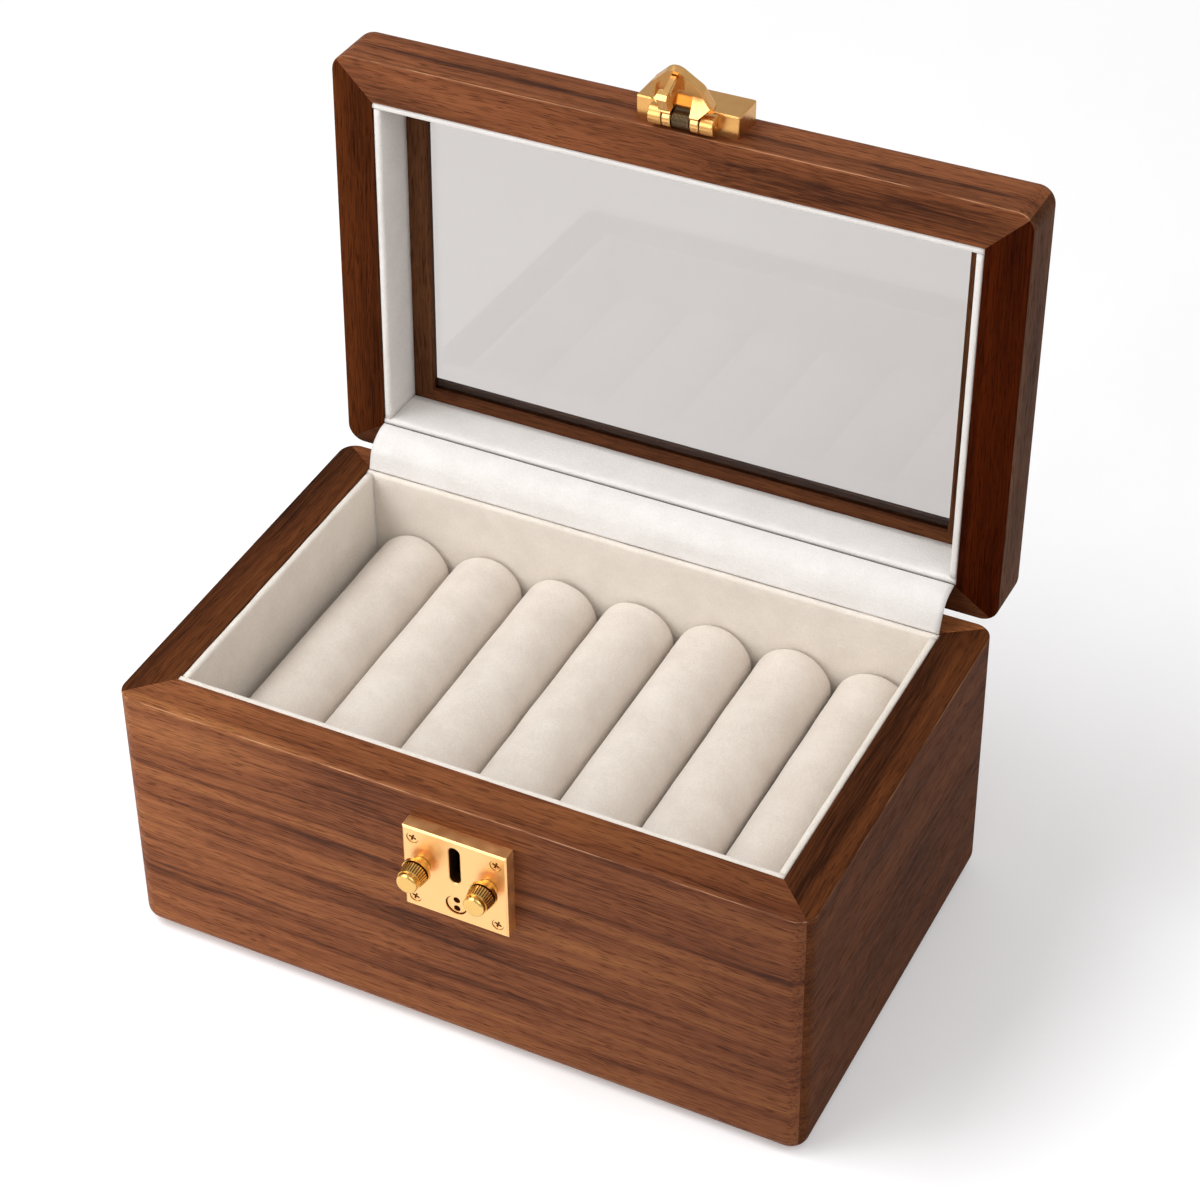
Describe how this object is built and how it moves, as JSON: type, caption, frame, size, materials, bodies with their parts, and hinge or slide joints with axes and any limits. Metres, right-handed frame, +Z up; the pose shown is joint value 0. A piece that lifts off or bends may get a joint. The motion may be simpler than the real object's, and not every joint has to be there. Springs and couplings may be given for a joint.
{
  "type": "bangle box",
  "caption": "Walnut bangle box with a glazed hinged lid, velvet lining, padded lift-out rolls and a brass lock plate with knobs and a hasp.",
  "frame": {"origin": "middle of the underside, on the face of the felt pad", "axes": "+Z up, +X to the right along the front, +Y from the front to the back"},
  "size_m": [0.31, 0.2524, 0.3596],
  "materials": {
    "base_back_liner": "short-pile velvet",
    "base_back_panel": "satin walnut, oiled",
    "base_bottom_panel": "birch plywood",
    "base_front_liner": "short-pile velvet",
    "base_front_panel": "satin walnut, oiled",
    "base_left_liner": "short-pile velvet",
    "base_left_panel": "satin walnut, oiled",
    "base_right_liner": "short-pile velvet",
    "base_right_panel": "satin walnut, oiled",
    "felt_pad": "felt",
    "floor_batten_back": "birch plywood",
    "floor_batten_front": "birch plywood",
    "floor_board": "short-pile velvet",
    "glass_pane": "clear float glass",
    "glazing_beads": "satin walnut, oiled",
    "hasp": "satin brass",
    "hasp_block": "satin brass",
    "hasp_block_screws": "blackened steel",
    "hasp_pin": "satin brass",
    "hasp_spring": "blackened steel",
    "hinge_base_leaf_left": "satin brass",
    "hinge_base_leaf_right": "satin brass",
    "hinge_base_screws": "satin brass",
    "hinge_cover": "short-pile velvet",
    "hinge_lid_leaf_left": "satin brass",
    "hinge_lid_leaf_right": "satin brass",
    "hinge_lid_screws": "satin brass",
    "hinge_pin_left": "satin brass",
    "hinge_pin_right": "satin brass",
    "knob_cam_left": "zinc-plated steel",
    "knob_cam_right": "zinc-plated steel",
    "knob_left": "satin brass",
    "knob_right": "satin brass",
    "lid_back_liner": "short-pile velvet",
    "lid_back_rail": "satin walnut, oiled",
    "lid_front_liner": "short-pile velvet",
    "lid_front_rail": "satin walnut, oiled",
    "lid_left_liner": "short-pile velvet",
    "lid_left_rail": "satin walnut, oiled",
    "lid_right_liner": "short-pile velvet",
    "lid_right_rail": "satin walnut, oiled",
    "lock_case": "zinc-plated steel",
    "lock_plate": "satin brass",
    "lock_plate_screws": "satin brass",
    "lock_plug": "satin brass",
    "lock_plug_tail": "zinc-plated steel",
    "roll_1": "short-pile velvet",
    "roll_2": "short-pile velvet",
    "roll_3": "short-pile velvet",
    "roll_4": "short-pile velvet",
    "roll_5": "short-pile velvet",
    "roll_6": "short-pile velvet",
    "roll_7": "short-pile velvet"
  },
  "bodies": {
    "base": {"base_back_liner": "base_back_liner", "base_back_panel": "base_back_panel", "base_bottom_panel": "base_bottom_panel", "base_front_liner": "base_front_liner", "base_front_panel": "base_front_panel", "base_left_liner": "base_left_liner", "base_left_panel": "base_left_panel", "base_right_liner": "base_right_liner", "base_right_panel": "base_right_panel", "felt_pad": "felt_pad", "floor_batten_back": "floor_batten_back", "floor_batten_front": "floor_batten_front", "floor_board": "floor_board", "hinge_base_leaf_left": "hinge_base_leaf_left", "hinge_base_leaf_right": "hinge_base_leaf_right", "hinge_base_screws": "hinge_base_screws", "hinge_cover": "hinge_cover", "hinge_pin_left": "hinge_pin_left", "hinge_pin_right": "hinge_pin_right", "lock_case": "lock_case", "lock_plate": "lock_plate", "lock_plate_screws": "lock_plate_screws"},
    "lid": {"glass_pane": "glass_pane", "glazing_beads": "glazing_beads", "hasp_block": "hasp_block", "hasp_block_screws": "hasp_block_screws", "hasp_pin": "hasp_pin", "hasp_spring": "hasp_spring", "hinge_lid_leaf_left": "hinge_lid_leaf_left", "hinge_lid_leaf_right": "hinge_lid_leaf_right", "hinge_lid_screws": "hinge_lid_screws", "lid_back_liner": "lid_back_liner", "lid_back_rail": "lid_back_rail", "lid_front_liner": "lid_front_liner", "lid_front_rail": "lid_front_rail", "lid_left_liner": "lid_left_liner", "lid_left_rail": "lid_left_rail", "lid_right_liner": "lid_right_liner", "lid_right_rail": "lid_right_rail"},
    "hasp": {"hasp": "hasp"},
    "knob_left": {"knob_left": "knob_left", "knob_cam_left": "knob_cam_left"},
    "knob_right": {"knob_right": "knob_right", "knob_cam_right": "knob_cam_right"},
    "lock_plug": {"lock_plug": "lock_plug", "lock_plug_tail": "lock_plug_tail"},
    "roll_1": {"roll_1": "roll_1"},
    "roll_2": {"roll_2": "roll_2"},
    "roll_3": {"roll_3": "roll_3"},
    "roll_4": {"roll_4": "roll_4"},
    "roll_5": {"roll_5": "roll_5"},
    "roll_6": {"roll_6": "roll_6"},
    "roll_7": {"roll_7": "roll_7"}
  },
  "joints": [
    {"name": "lid_hinge", "type": "hinge", "parent": "base", "child": "lid", "pos_m": [0, 0.09835, 0.1302], "axis": [-1, 0, 0], "range_deg": [-92, 0], "deforming": ["hinge_cover"]},
    {"name": "hasp_hinge", "type": "hinge", "parent": "lid", "child": "hasp", "pos_m": [0.0065, 0.10799, 0.33164], "axis": [-1, 0, 0], "range_deg": [-65, 0], "stiffness_Nm_per_rad": 0.004, "springref_deg": 34.38},
    {"name": "left_knob_turn", "type": "hinge", "parent": "base", "child": "knob_left", "pos_m": [-0.0085, -0.104, 0.0996], "axis": [0, -1, 0], "range_deg": [0, 90]},
    {"name": "right_knob_turn", "type": "hinge", "parent": "base", "child": "knob_right", "pos_m": [0.0215, -0.104, 0.0996], "axis": [0, 1, 0], "range_deg": [0, 90]},
    {"name": "lock_plug_turn", "type": "hinge", "parent": "base", "child": "lock_plug", "pos_m": [0.0065, -0.104, 0.0834], "axis": [0, -1, 0], "range_deg": [0, 90]},
    {"name": "roll_1_lift", "type": "slide", "parent": "base", "child": "roll_1", "axis": [0, 0, 1], "range_m": [0, 0.06]},
    {"name": "roll_2_lift", "type": "slide", "parent": "base", "child": "roll_2", "axis": [0, 0, 1], "range_m": [0, 0.06]},
    {"name": "roll_3_lift", "type": "slide", "parent": "base", "child": "roll_3", "axis": [0, 0, 1], "range_m": [0, 0.06]},
    {"name": "roll_4_lift", "type": "slide", "parent": "base", "child": "roll_4", "axis": [0, 0, 1], "range_m": [0, 0.06]},
    {"name": "roll_5_lift", "type": "slide", "parent": "base", "child": "roll_5", "axis": [0, 0, 1], "range_m": [0, 0.06]},
    {"name": "roll_6_lift", "type": "slide", "parent": "base", "child": "roll_6", "axis": [0, 0, 1], "range_m": [0, 0.06]},
    {"name": "roll_7_lift", "type": "slide", "parent": "base", "child": "roll_7", "axis": [0, 0, 1], "range_m": [0, 0.06]}
  ]
}
